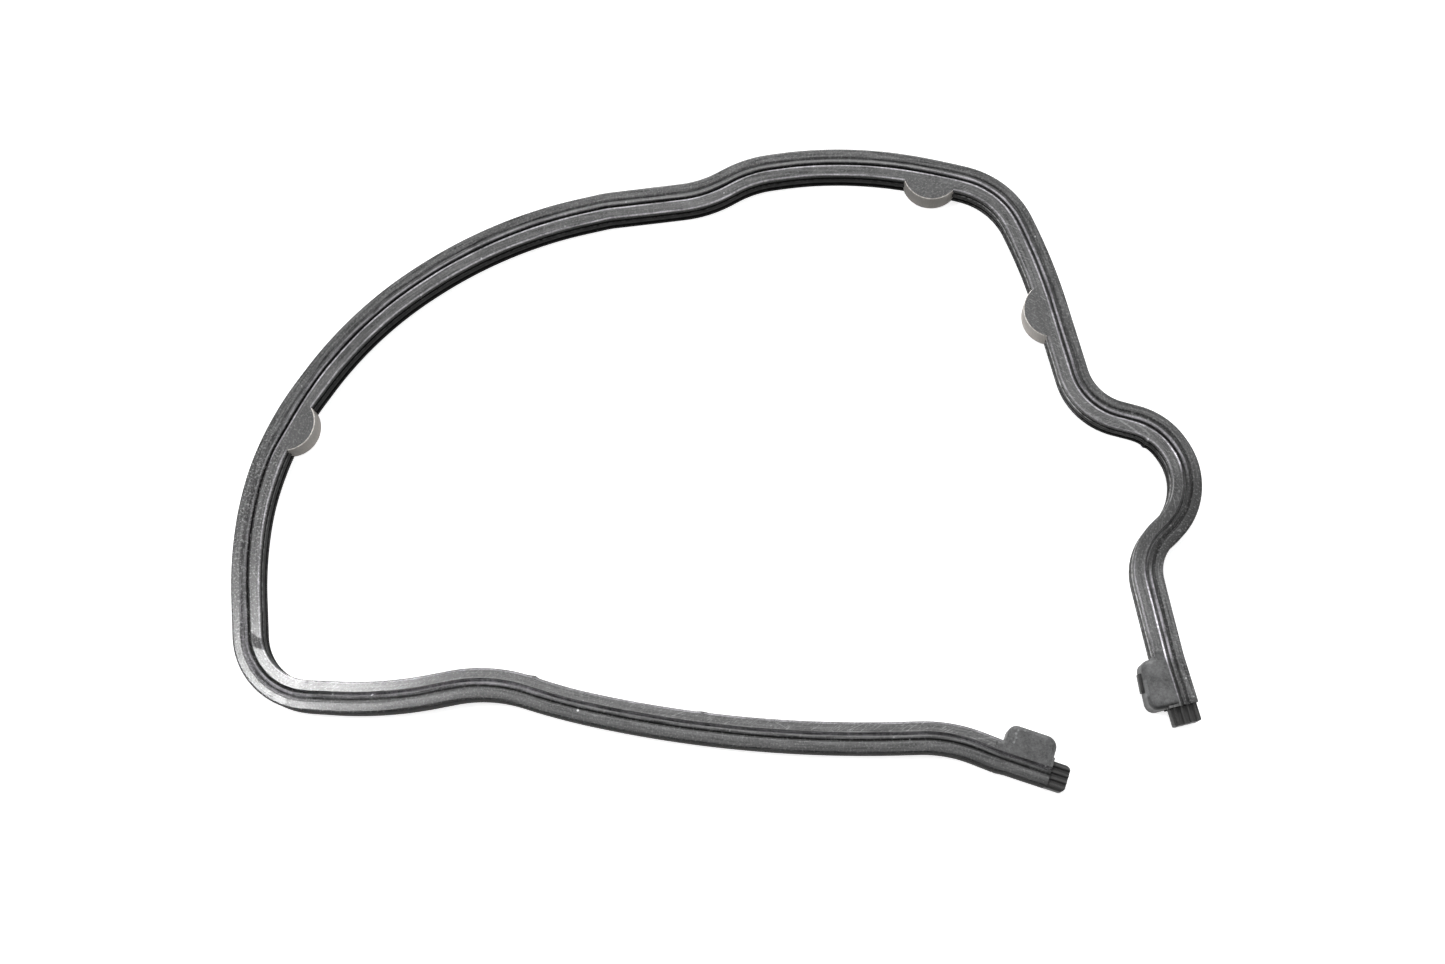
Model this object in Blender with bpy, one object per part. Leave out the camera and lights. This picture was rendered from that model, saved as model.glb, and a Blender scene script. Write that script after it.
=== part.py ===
"""An open moulded rubber gasket: one strip of constant section on a curved route, with three
round ears on its inner side and a keyed block with a ribbed tongue at each end.

The strip lies flat on its back and its route is seen from above. The part's origin is at the middle
of its box, on the surface that it rests on.
"""
import math

import bmesh
import bpy
from mathutils import Matrix, Vector

MM = 0.001

# Strip
STRIP_WIDTH = 6.8 * MM
THICKNESS = 6.0 * MM
OUTER_BAND = 1.65 * MM         # flat land beside the outer wall
OUTER_GROOVE = 0.15 * MM       # floor of the groove between the outer land and the bead
OUTER_GROOVE_DEPTH = 0.5 * MM
OUTER_GROOVE_LEAN = 0.4 * MM   # how far the slope from the outer land down to that floor leans
BEAD_WIDTH = 1.22 * MM         # sealing bead, which rises from the outer groove to its crest
BEAD_CREST = 0.57 * MM         # rounded top of the bead, at its inner side
BEAD_FALL = 0.05 * MM          # from the crest down to where the bead's slope starts
BEAD_LEAN = 0.18 * MM          # how far the bead's inner side leans
INNER_GROOVE = 0.7 * MM        # narrow groove between the bead and the inner land, at its mouth
INNER_GROOVE_DEPTH = 0.8 * MM
LAND_LEAN = 0.4 * MM           # how far that groove's slope up to the inner land leans
EDGE_ROUND = 0.3 * MM          # outer edges of the section
RIM_CHAMFER = 0.15 * MM        # crisp edges of the inner land, of the ears and of the tongues
WALL_LIP = 0.9 * MM            # inner wall: height of the lip over and under its two channels
WALL_CHANNEL = 1.3 * MM        # height of each channel
WALL_CHANNEL_DEPTH = 0.35 * MM

# Route of the strip's middle, from the tip of end A round to the tip of end B.
# Each corner is x, y and the radius that rounds it, in millimetres.
ROUTE = (
    (78.5, -74.0, 0),
    (65.5, -69.5, 60),
    (53.0, -64.5, 33),
    (7.5, -65.5, 290),
    (-33.5, -56.5, 145),
    (-50.5, -51.0, 35),
    (-74.5, -55.5, 90),
    (-92.0, -54.5, 21.5),
    (-105.5, -53.0, 15.5),
    (-108.5, -23.5, 89),
    (-106.5, 3.0, 69),
    (-84.5, 35.5, 91),
    (-52.5, 57.5, 107),
    (-25.5, 63.5, 20),
    (-2.0, 66.0, 27),
    (9.0, 72.0, 27),
    (32.5, 75.0, 92),
    (54.5, 70.0, 170),
    (69.5, 65.5, 19.5),
    (77.5, 46.0, 135),
    (86.0, 11.0, 14.5),
    (103.0, 6.0, 14),
    (112.5, -10.0, 15),
    (97.5, -23.5, 12),
    (102.0, -47.5, 38),
    (105.5, -62.0, 0),
)
SAG = 0.05 * MM                # how far a facet may leave its arc
CRISP_ANGLE = math.radians(25)  # facets that meet at more than this show an edge
MOULD_STEP = 0.05 * MM         # ears and blocks start this far inside the strip's two faces

# Ears: discs centred on the strip's middle, at these distances along the route from end A
EAR_DISTANCES = (247.5 * MM, 423.5 * MM, 472.0 * MM)
EAR_RADIUS = 6.9 * MM
EAR_ROOT = 0.9 * MM            # how far an ear's foot stays inside the inner land
EAR_SIDES = 48

# End blocks, on the inner side of both ends
BLOCK_LENGTH = 11.5 * MM
BLOCK_REACH = 4.15 * MM        # beyond the strip's inner wall
BLOCK_CORNER = 2.1 * MM
BLOCK_FILLET = 1.1 * MM        # where the block meets the strip again
BLOCK_RISE = 0.3 * MM          # over the inner land
BLOCK_EDGE = 1.1 * MM          # rounding of the block's top edge
BLOCK_SETBACK = 0.25 * MM      # from the strip's end face
BLOCK_ROOT = 0.35 * MM         # how far the block's foot stays inside the inner land
BLOCK_TAIL = 2.0 * MM          # where the block's flank has run into the strip, past its length

# Tongues beyond the blocks
TONGUE_LENGTH = 4.0 * MM
TONGUE_WIDTH = 6.1 * MM
TONGUE_THICKNESS = 3.7 * MM    # between the ribs' feet
TONGUE_CORNER = 0.45 * MM
TONGUE_EMBED = 0.4 * MM        # inside the strip's end
RIB_COUNT = 4
RIB_PITCH = 1.45 * MM
RIB_WIDTH = 0.75 * MM
RIB_HEIGHT = 0.45 * MM
RIB_DRAFT = 0.15 * MM


def rounded(corners, closed=False):
    """Points and headings along straight legs whose corners are rounded by arcs."""
    count = len(corners)
    points = [Vector(corner[:2]) for corner in corners]
    inner = range(count) if closed else range(1, count - 1)
    turns = {}
    setbacks = [0.0] * count
    for i in inner:
        arriving = points[i] - points[i - 1]
        leaving = points[(i + 1) % count] - points[i]
        turns[i] = -arriving.angle_signed(leaving)
        setbacks[i] = corners[i][2] * math.tan(abs(turns[i]) / 2)
    # a leg that is too short for its two arcs gives each of them its share
    shares = [1.0] * count
    for i in range(count if closed else count - 1):
        following = (i + 1) % count
        wanted = setbacks[i] + setbacks[following]
        leg = (points[following] - points[i]).length
        if wanted > leg:
            shares[i] = min(shares[i], leg / wanted)
            shares[following] = min(shares[following], leg / wanted)
    stations = []
    for i in range(count):
        if i not in turns:
            leg = points[1] - points[0] if i == 0 else points[i] - points[i - 1]
            stations.append((points[i], math.atan2(leg.y, leg.x)))
            continue
        arriving = (points[i] - points[i - 1]).normalized()
        heading = math.atan2(arriving.y, arriving.x)
        radius = corners[i][2] * shares[i]
        start = points[i] - arriving * setbacks[i] * shares[i]
        if radius == 0:
            stations.append((points[i], heading))
            continue
        side = math.copysign(1, turns[i])
        centre = start + Vector((-arriving.y, arriving.x)) * radius * side
        step = 2 * math.acos(1 - min(SAG / radius, 0.5))
        steps = max(2, math.ceil(abs(turns[i]) / step))
        for k in range(steps + 1):
            turn = turns[i] * k / steps
            spoke = Matrix.Rotation(turn, 2) @ (start - centre)
            stations.append((centre + spoke, heading + turn))
    return stations


def with_distances(stations):
    """The same stations, each with its distance along the route."""
    travelled = 0.0
    previous = stations[0][0]
    measured = []
    for point, heading in stations:
        travelled += (point - previous).length
        measured.append((travelled, point, heading))
        previous = point
    return measured


def frame(point, heading):
    """Local frame of a station: x is towards the inside, y along the route, z up."""
    turn = Matrix.Rotation(heading - math.pi / 2, 4, "Z")
    return Matrix.Translation((point.x, point.y, 0)) @ turn


def frame_at(route, distance):
    """Local frame at any distance along the route."""
    for (d0, p0, h0), (d1, p1, h1) in zip(route, route[1:]):
        if d0 <= distance <= d1 and d1 > d0:
            share = (distance - d0) / (d1 - d0)
            swing = math.remainder(h1 - h0, math.tau)
            return frame(p0.lerp(p1, share), h0 + swing * share)
    raise ValueError("the distance is off the route")


def land_start():
    """Where the inner land begins, from the strip's middle."""
    return -STRIP_WIDTH / 2 + OUTER_BAND + OUTER_GROOVE_LEAN + OUTER_GROOVE + BEAD_WIDTH + INNER_GROOVE


def section():
    """Closed outline of the strip, seen along the route: across and up. Its back mirrors its top."""
    half = STRIP_WIDTH / 2
    top = THICKNESS
    land = land_start()
    bead_end = land - INNER_GROOVE
    bead_start = bead_end - BEAD_WIDTH
    channel_side = half - WALL_CHANNEL_DEPTH
    channel_top = top - WALL_LIP
    rib_top = channel_top - WALL_CHANNEL
    outer_floor = top - OUTER_GROOVE_DEPTH
    inner_floor = top - INNER_GROOVE_DEPTH
    upper = [
        (-half, top - EDGE_ROUND),
        (-half + EDGE_ROUND, top),
        (-half + OUTER_BAND, top),
        (bead_start - OUTER_GROOVE, outer_floor),
        (bead_start, outer_floor),
        (bead_end - BEAD_CREST, top - BEAD_FALL),
        (bead_end - BEAD_CREST / 2, top),
        (bead_end, top - RIM_CHAMFER),
        (bead_end + BEAD_LEAN, inner_floor),
        (land - LAND_LEAN, inner_floor),
        (land, top - RIM_CHAMFER),
        (land + RIM_CHAMFER, top),
        (half - RIM_CHAMFER, top),
        (half, top - RIM_CHAMFER),
        (half, channel_top),
        (channel_side, channel_top - WALL_CHANNEL_DEPTH / 2),
        (channel_side, rib_top + WALL_CHANNEL_DEPTH / 2),
        (half, rib_top),
    ]
    lower = [(across, top - up) for across, up in reversed(upper)]
    return upper + lower


def strip(route):
    """The section carried along the route between the two end faces."""
    first, last = TONGUE_LENGTH, route[-1][0] - TONGUE_LENGTH
    frames = [frame_at(route, first)]
    frames += [frame(point, heading) for distance, point, heading in route if first < distance < last]
    frames.append(frame_at(route, last))
    bm = bmesh.new()
    ring = [bm.verts.new(frames[0] @ Vector((across, 0, up))) for across, up in section()]
    edges = [bm.edges.new(pair) for pair in zip(ring, ring[1:] + ring[:1])]
    bmesh.ops.contextual_create(bm, geom=edges)
    for here, there in zip(frames, frames[1:]):
        grown = bmesh.ops.extrude_edge_only(bm, edges=edges)["geom"]
        ring = {item for item in grown if isinstance(item, bmesh.types.BMVert)}
        edges = [item for item in grown if isinstance(item, bmesh.types.BMEdge) and ring.issuperset(item.verts)]
        bmesh.ops.transform(bm, matrix=there @ here.inverted(), verts=list(ring))
    bmesh.ops.contextual_create(bm, geom=edges)
    return bm


def prism(outline, bottom, top):
    """An outline in the local plane, pulled up from one height to another."""
    bm = bmesh.new()
    face = bm.faces.new([bm.verts.new((x, y, bottom)) for x, y in outline])
    grown = bmesh.ops.extrude_face_region(bm, geom=[face])["geom"]
    raised = [item for item in grown if isinstance(item, bmesh.types.BMVert)]
    bmesh.ops.translate(bm, vec=(0, 0, top - bottom), verts=raised)
    bmesh.ops.recalc_face_normals(bm, faces=bm.faces)
    return bm


def round_edges(bm, edges, width, segments):
    bmesh.ops.bevel(bm, geom=edges, offset=width, segments=segments, profile=0.5, affect="EDGES",
                    clamp_overlap=True, material=-1)


def ear():
    """A disc on the strip's middle, kept clear of the bead and the grooves."""
    bm = bmesh.new()
    bmesh.ops.create_cone(bm, cap_ends=True, segments=EAR_SIDES, radius1=EAR_RADIUS, radius2=EAR_RADIUS,
                          depth=THICKNESS - 2 * MOULD_STEP, matrix=Matrix.Translation((0, 0, THICKNESS / 2)))
    rims = [edge for edge in bm.edges if abs(edge.verts[0].co.z - edge.verts[1].co.z) < THICKNESS / 2]
    round_edges(bm, rims, RIM_CHAMFER, 1)
    cut = bmesh.ops.bisect_plane(bm, geom=bm.verts[:] + bm.edges[:] + bm.faces[:],
                                 plane_co=(land_start() + EAR_ROOT, 0, 0), plane_no=(1, 0, 0), clear_inner=True)
    rim = [item for item in cut["geom_cut"] if isinstance(item, bmesh.types.BMEdge)]
    bmesh.ops.contextual_create(bm, geom=rim)
    return bm


def end_block(side):
    """The block beside an end face; side is 1 where the route leaves that face, -1 where it arrives."""
    foot = land_start() + BLOCK_ROOT
    wall = STRIP_WIDTH / 2
    reach = wall + BLOCK_REACH
    near = side * BLOCK_SETBACK
    far = side * BLOCK_LENGTH
    tail = far + side * BLOCK_TAIL
    corners = [
        (foot, near, 0),
        (reach, near, BLOCK_CORNER),
        (reach, far, BLOCK_CORNER),
        (wall, far, BLOCK_FILLET),
        (wall - BLOCK_ROOT, tail, 0),
        (foot, tail, 0),
    ]
    outline = [point for point, heading in rounded(corners, closed=True)]
    top = THICKNESS + BLOCK_RISE
    bm = prism(outline, MOULD_STEP, top)
    shoulder = [edge for edge in bm.edges
                if all(vert.co.z > THICKNESS for vert in edge.verts)
                and any(vert.co.x > foot + RIM_CHAMFER for vert in edge.verts)]
    round_edges(bm, shoulder, BLOCK_EDGE, 3)
    return bm


def tongue_profile():
    """Outline of the tongue, seen along the route: ribs above and below."""
    half = TONGUE_WIDTH / 2
    foot = THICKNESS / 2 + TONGUE_THICKNESS / 2
    upper = [(-half, foot)]
    for i in range(RIB_COUNT):
        middle = (i - (RIB_COUNT - 1) / 2) * RIB_PITCH
        for across, up in ((-RIB_WIDTH / 2, 0), (-RIB_WIDTH / 2 + RIB_DRAFT, RIB_HEIGHT),
                           (RIB_WIDTH / 2 - RIB_DRAFT, RIB_HEIGHT), (RIB_WIDTH / 2, 0)):
            upper.append((middle + across, foot + up))
    upper.append((half, foot))
    lower = [(across, THICKNESS - up) for across, up in reversed(upper)]
    return upper + lower


def tongue(side):
    """The ribbed tongue beyond an end face, with its root inside the strip."""
    root = side * TONGUE_EMBED
    tip = -side * TONGUE_LENGTH
    bm = bmesh.new()
    face = bm.faces.new([bm.verts.new((across, root, up)) for across, up in tongue_profile()])
    grown = bmesh.ops.extrude_face_region(bm, geom=[face])["geom"]
    moved = [item for item in grown if isinstance(item, bmesh.types.BMVert)]
    bmesh.ops.translate(bm, vec=(0, tip - root, 0), verts=moved)
    bmesh.ops.recalc_face_normals(bm, faces=bm.faces)
    reach = TONGUE_WIDTH / 2 - RIM_CHAMFER
    corners = [edge for edge in bm.edges
               if all(abs(vert.co.y - tip) < RIM_CHAMFER and abs(vert.co.x) > reach for vert in edge.verts)]
    round_edges(bm, corners, TONGUE_CORNER, 3)
    return bm


def rubber():
    material = bpy.data.materials.new("black_rubber")
    material.use_nodes = True
    shader = material.node_tree.nodes["Principled BSDF"]
    shader.inputs["Base Color"].default_value = (0.085, 0.085, 0.087, 1)
    shader.inputs["Roughness"].default_value = 0.55
    shader.inputs["Metallic"].default_value = 0.0
    return material


def finished(name, bm, material, placing=Matrix.Identity(4)):
    """A named object with smooth rounds and crisp edges, from a mesh placed on the route."""
    bmesh.ops.transform(bm, matrix=placing, verts=bm.verts)
    bmesh.ops.recalc_face_normals(bm, faces=bm.faces)
    bmesh.ops.triangulate(bm, faces=bm.faces)
    mesh = bpy.data.meshes.new(name)
    bm.to_mesh(mesh)
    bm.free()
    mesh.materials.append(material)
    mesh.shade_smooth()
    mesh.set_sharp_from_angle(angle=CRISP_ANGLE)
    thing = bpy.data.objects.new(name, mesh)
    bpy.context.scene.collection.objects.link(thing)
    return thing


def fuse(body, feature):
    """Moulds a feature into the body; the feature's own object only guides it."""
    feature.hide_render = True
    feature.display_type = "WIRE"
    feature.parent = body
    union = body.modifiers.new("with_" + feature.name, "BOOLEAN")
    union.operation = "UNION"
    union.solver = "EXACT"
    union.object = feature


def centre(body, features):
    """Puts the middle of the whole part's box over the origin."""
    spots = [vert.co for thing in [body] + features for vert in thing.data.vertices]
    middle = [(min(spot[i] for spot in spots) + max(spot[i] for spot in spots)) / 2 for i in range(2)]
    body.location = (-middle[0], -middle[1], 0)


def main():
    for thing in list(bpy.data.objects):
        bpy.data.objects.remove(thing)
    material = rubber()
    route = with_distances(rounded([[size * MM for size in corner] for corner in ROUTE]))
    length = route[-1][0]
    body = finished("gasket", strip(route), material)
    features = []
    for number, distance in enumerate(EAR_DISTANCES, 1):
        features.append(finished("ear_%d" % number, ear(), material, frame_at(route, distance)))
    for letter, distance, side in (("a", TONGUE_LENGTH, 1), ("b", length - TONGUE_LENGTH, -1)):
        placing = frame_at(route, distance)
        features.append(finished("block_" + letter, end_block(side), material, placing))
        features.append(finished("tongue_" + letter, tongue(side), material, placing))
    for feature in features:
        fuse(body, feature)
    centre(body, features)


main()
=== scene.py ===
"""The gasket's looks: one fine moulded strip in worn black rubber, laid on a white table."""
import math

import bmesh
import bpy
from mathutils import Matrix, Vector


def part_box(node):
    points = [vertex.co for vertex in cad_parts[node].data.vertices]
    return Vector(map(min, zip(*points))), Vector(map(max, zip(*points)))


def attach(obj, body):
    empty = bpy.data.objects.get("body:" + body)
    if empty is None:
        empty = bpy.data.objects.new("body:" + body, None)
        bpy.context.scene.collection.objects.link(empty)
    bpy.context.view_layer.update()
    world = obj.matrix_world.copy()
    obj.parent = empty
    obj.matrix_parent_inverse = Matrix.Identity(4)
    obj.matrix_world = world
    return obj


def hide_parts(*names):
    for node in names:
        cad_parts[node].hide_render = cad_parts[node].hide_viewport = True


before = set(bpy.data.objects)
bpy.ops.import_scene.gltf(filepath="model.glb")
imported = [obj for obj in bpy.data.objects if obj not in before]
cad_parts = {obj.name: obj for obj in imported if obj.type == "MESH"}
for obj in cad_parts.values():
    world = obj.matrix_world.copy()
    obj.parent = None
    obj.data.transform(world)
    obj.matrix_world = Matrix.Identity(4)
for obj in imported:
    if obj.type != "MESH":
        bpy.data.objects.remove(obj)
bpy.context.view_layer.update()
MM = 0.001

# Route of the strip's middle from end A's tip to end B's tip: x, y and corner radius, in millimetres
ROUTE = (
    (78.5, -74.0, 0),
    (65.5, -69.5, 60),
    (53.0, -64.5, 33),
    (7.5, -65.5, 290),
    (-33.5, -56.5, 145),
    (-50.5, -51.0, 35),
    (-74.5, -55.5, 90),
    (-92.0, -54.5, 21.5),
    (-105.5, -53.0, 15.5),
    (-108.5, -23.5, 89),
    (-106.5, 3.0, 69),
    (-84.5, 35.5, 91),
    (-52.5, 57.5, 107),
    (-25.5, 63.5, 20),
    (-2.0, 66.0, 27),
    (9.0, 72.0, 27),
    (32.5, 75.0, 92),
    (54.5, 70.0, 170),
    (69.5, 65.5, 19.5),
    (77.5, 46.0, 135),
    (86.0, 11.0, 14.5),
    (103.0, 6.0, 14),
    (112.5, -10.0, 15),
    (97.5, -23.5, 12),
    (102.0, -47.5, 38),
    (105.5, -62.0, 0),
)
SAG = 0.002 * MM
STATION_GAP = 1.0 * MM

# Strip, seen along its route: across is towards the inside of the loop
TOP = 6.0 * MM
HALF_WIDTH = 3.4 * MM
OUTER_LAND_END = -1.5 * MM
OUTER_FLOOR = (-1.15 * MM, -1.05 * MM)
OUTER_FLOOR_DEPTH = 0.38 * MM
CREST = (-0.55 * MM, 0.0 * MM)
CREST_DROP = 0.05 * MM
INNER_FLOOR = (0.2 * MM, 0.32 * MM)
INNER_FLOOR_DEPTH = 0.8 * MM
INNER_LAND_START = 0.72 * MM
LIP = 0.9 * MM
CHANNEL = 1.3 * MM
CHANNEL_DEPTH = 0.35 * MM

# Roundings of the section's corners
OUTER_EDGE_ROUND = 0.34 * MM
OUTER_LAND_ROUND = 0.2 * MM
FLOOR_ROUND = 0.08 * MM
CREST_ROUND = 0.2 * MM
INNER_LAND_ROUND = 0.13 * MM
INNER_EDGE_ROUND = 0.14 * MM
LIP_ROUND = 0.12 * MM
CHANNEL_ROUND = 0.1 * MM
# Extra points this far from the rounded corners keep what is flat between them flat
OUTER_EDGE_MARGIN = 0.4 * MM
OUTER_LAND_MARGIN = 0.25 * MM
INNER_MARGIN = 0.2 * MM

# The soft strip doesn't lie quite true. At each distance along it: how far its outer edge, its bead and
# grooves, and its inner edge are from their places, towards the inside of the loop, in millimetres.
LIE = (
    (0, 0.1, 0.3, -0.1),
    (13, 0.05, 0.3, -0.1),
    (15.5, -0.25, 0.3, -0.08),
    (30, -0.2, 0.3, -0.05),
    (110, -0.2, 0.3, -0.05),
    (125, -0.3, 0.3, 0.05),
    (165, -0.3, 0.3, 0.05),
    (185, -0.1, 0.15, -0.05),
    (225, -0.1, 0.05, 0.0),
    (237, -0.15, -0.15, 0.1),
    (248, -0.1, 0.35, 0.15),
    (263, -0.1, -0.05, 0.17),
    (330, -0.1, -0.05, 0.17),
    (360, -0.05, 0.15, 0.3),
    (400, 0.05, 0.2, 0.3),
    (440, -0.15, -0.28, 0.0),
    (490, -0.25, -0.3, -0.1),
    (518, -0.2, -0.25, -0.2),
    (535, -0.2, 0.05, 0.0),
    (555, 0.1, -0.05, 0.05),
    (585, 0.1, -0.05, 0.05),
)
# Lumps on the inner edge: place along the strip and height, in millimetres, like their spread
LUMPS = ((82.5, 0.25), (122.3, 0.4), (512.2, 0.3))
LUMP_SPREAD = 0.7
LUMP_FADE = 8                  # how fast a lump dies away across the land

# Ears: discs on the strip's middle
EAR_DISTANCES = (247.5 * MM, 423.5 * MM, 472.0 * MM)
EAR_RADIUS = 6.9 * MM
EAR_SIDES = 160
EAR_RIM = 0.26 * MM
EAR_RIM_SEGMENTS = 4
FLUSH = 0.012 * MM             # ear tops lie this far over the land, so that no seam shows

# End blocks and tongues. Where the two ends differ, 1 is end A and -1 is end B
BLOCK_LENGTH = 11.5 * MM
BLOCK_REACH = 4.15 * MM
BLOCK_CORNERS = {1: (2.5 * MM, 2.1 * MM), -1: (2.1 * MM, 1.9 * MM)}    # near the end face and far from it
BLOCK_LEAN = {1: 0.0, -1: 0.9 * MM}
BLOCK_FILLET = 1.1 * MM
BLOCK_RISE = 0.3 * MM
BLOCK_EDGE = 1.1 * MM
BLOCK_EDGE_SEGMENTS = 8
BLOCK_SETBACK = 0.25 * MM
BLOCK_TAIL = 2.0 * MM
BLOCK_TAIL_INSET = 0.3 * MM
BLOCK_FOOT = INNER_LAND_START + 0.3 * MM
BLOCK_SHOULDER = BLOCK_FOOT + 0.26 * MM     # the top edge is rounded from here on
BLOCK_SAG = 0.01 * MM
FLASH_SIZE = (1.0 * MM, 4.4 * MM, 2.2 * MM)
FLASH_INSET = 0.3 * MM
FLASH_DISTANCE = -7.0 * MM     # from end B's end face
FLASH_HEIGHT = 3.2 * MM
FLASH_TURN = -0.09
FLASH_EDGE = 0.18 * MM
TONGUE_LENGTH = 4.0 * MM
TONGUE_WIDTH = 6.1 * MM
TONGUE_THICKNESS = 3.7 * MM
TONGUE_CORNERS = {1: 1.2 * MM, -1: 0.5 * MM}
TONGUE_SHIFT = {1: -0.35 * MM, -1: 0.0}
TONGUE_ROOT = 0.4 * MM
TONGUE_ROUND = 0.3 * MM
TONGUE_CUTS = 6                # cross cuts that make its tip's round corners
MERGE_DISTANCE = 0.002 * MM
RIB_COUNT = 4
RIB_PITCH = 1.45 * MM
RIB_WIDTH = 0.75 * MM
RIB_HEIGHT = 0.45 * MM
RIB_DRAFT = 0.15 * MM
RIB_FOOT_ROUND = 0.1 * MM
RIB_TOP_ROUND = 0.15 * MM

# Which finish a face gets: by its place on the strip, and by how far it faces up or along
WALL_ZONE = 0.5 * MM
WALL_DEPTH = 0.12 * MM
FACES_ALONG = 0.9
FACES_UP = 0.98
FACES_SLANTED = 0.1
FLAT_END_CORNERS = 5           # only the flat ends and tops have as many corners
SHARP_ANGLE = math.radians(35)

# Camera, at the photograph's viewing angle
CAMERA_PLACE = (23.83 * MM, -108.6 * MM, 402.3 * MM)
CAMERA_TURN = (math.radians(14.5), math.radians(3.1), 0)
SENSOR = 36
LENS = 44.2
TABLETOP_HALF = 3.0


# Route

def rounded(corners, closed=False, sag=SAG):
    """Points and headings along straight legs whose corners are rounded by arcs."""
    count = len(corners)
    points = [Vector(corner[:2]) for corner in corners]
    turns = {}
    setbacks = [0.0] * count
    for i in range(count) if closed else range(1, count - 1):
        arriving = points[i] - points[i - 1]
        leaving = points[(i + 1) % count] - points[i]
        turns[i] = -arriving.angle_signed(leaving)
        setbacks[i] = corners[i][2] * math.tan(abs(turns[i]) / 2)
    shares = [1.0] * count
    for i in range(count if closed else count - 1):
        following = (i + 1) % count
        wanted = setbacks[i] + setbacks[following]
        leg = (points[following] - points[i]).length
        if wanted > leg:
            shares[i] = min(shares[i], leg / wanted)
            shares[following] = min(shares[following], leg / wanted)
    stations = []
    for i in range(count):
        if i not in turns:
            leg = points[1] - points[0] if i == 0 else points[i] - points[i - 1]
            stations.append((points[i], math.atan2(leg.y, leg.x)))
            continue
        arriving = (points[i] - points[i - 1]).normalized()
        heading = math.atan2(arriving.y, arriving.x)
        radius = corners[i][2] * shares[i]
        if radius == 0:
            stations.append((points[i], heading))
            continue
        start = points[i] - arriving * setbacks[i] * shares[i]
        side = math.copysign(1, turns[i])
        middle = start + Vector((-arriving.y, arriving.x)) * radius * side
        steps = max(2, math.ceil(abs(turns[i]) / (2 * math.acos(1 - min(sag / radius, 0.5)))))
        for k in range(steps + 1):
            turn = turns[i] * k / steps
            stations.append((middle + Matrix.Rotation(turn, 2) @ (start - middle), heading + turn))
    return stations


def with_distances(stations):
    """The same stations, each with its distance along the route."""
    travelled = 0.0
    previous = stations[0][0]
    measured = []
    for point, heading in stations:
        travelled += (point - previous).length
        measured.append((travelled, point, heading))
        previous = point
    return measured


class Route:
    """The strip's middle line, which gives a local frame at any distance along it."""

    def __init__(self, corners):
        self.stations = with_distances(rounded([[size * MM for size in corner] for corner in corners]))
        self.length = self.stations[-1][0]
        self.last = 0

    def frame(self, distance):
        """x is towards the inside of the loop, y along the route and z up."""
        stations = self.stations
        if stations[self.last][0] > distance:
            self.last = 0
        while self.last < len(stations) - 2 and stations[self.last + 1][0] < distance:
            self.last += 1
        (d0, p0, h0), (d1, p1, h1) = stations[self.last], stations[self.last + 1]
        share = (distance - d0) / (d1 - d0) if d1 > d0 else 0
        spot = p0.lerp(p1, share)
        swing = math.remainder(h1 - h0, 2 * math.pi)
        turn = Matrix.Rotation(h0 + swing * share - math.pi / 2, 4, "Z")
        return Matrix.Translation((spot.x, spot.y, 0)) @ turn


def lie_at(distance):
    """How far the outer edge, the bead and the inner edge are off their places here."""
    for (d0, *from_), (d1, *to) in zip(LIE, LIE[1:]):
        if distance <= d1 * MM or d1 == LIE[-1][0]:
            share = min(1, max(0, (distance / MM - d0) / (d1 - d0)))
            share = share * share * (3 - 2 * share)
            return [(a + (b - a) * share) * MM for a, b in zip(from_, to)]


def settled(across, distance):
    """Where a point of the section comes to lie, across the strip."""
    outer, bead, inner = lie_at(distance)
    if across < OUTER_LAND_END:
        share = (across + HALF_WIDTH) / (OUTER_LAND_END + HALF_WIDTH)
        return across + outer + (bead - outer) * share
    if across > INNER_LAND_START:
        share = (HALF_WIDTH - across) / (HALF_WIDTH - INNER_LAND_START)
        lump = sum(height * math.exp(-((distance / MM - spot) / LUMP_SPREAD) ** 2)
                   for spot, height in LUMPS)
        return across + inner + (bead - inner) * share + lump * MM * (1 - share) ** LUMP_FADE
    return across + bead


# Mesh helpers

def round_corner(bm, corner, size, segments=3):
    """Rounds one corner of a flat outline."""
    bmesh.ops.bevel(bm, geom=[corner], offset=size, offset_type="OFFSET", segments=segments, profile=0.5,
                    affect="VERTICES", clamp_overlap=True, material=-1)


def round_edges(bm, edges, width, segments):
    bmesh.ops.bevel(bm, geom=edges, offset=width, offset_type="OFFSET", segments=segments, profile=0.5,
                    affect="EDGES", clamp_overlap=True, material=-1)


def outline_face(bm, corners):
    """A flat face in the plane across the strip, whose corners are rounded as they say."""
    verts = [bm.verts.new((across, 0, up)) for across, up, size in corners]
    bm.faces.new(verts)
    for vert, (across, up, size) in zip(verts, corners):
        if size:
            round_corner(bm, vert, size)
    return bm.faces[:]


def pull(bm, faces, way):
    """Extrudes faces by a vector."""
    grown = bmesh.ops.extrude_face_region(bm, geom=faces)["geom"]
    far_end = [item for item in grown if isinstance(item, bmesh.types.BMVert)]
    bmesh.ops.translate(bm, vec=way, verts=far_end)


def place(bm, route, distance):
    """Writes down each point's place along and across the strip, then puts the shape on the route."""
    along = bm.verts.layers.float.new("along")
    across = bm.verts.layers.float.new("across")
    for vert in bm.verts:
        vert[along] = distance + vert.co.y
        vert[across] = vert.co.x
    bmesh.ops.transform(bm, matrix=route.frame(distance), verts=bm.verts)
    bmesh.ops.recalc_face_normals(bm, faces=bm.faces)
    return bm


# Strip

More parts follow.
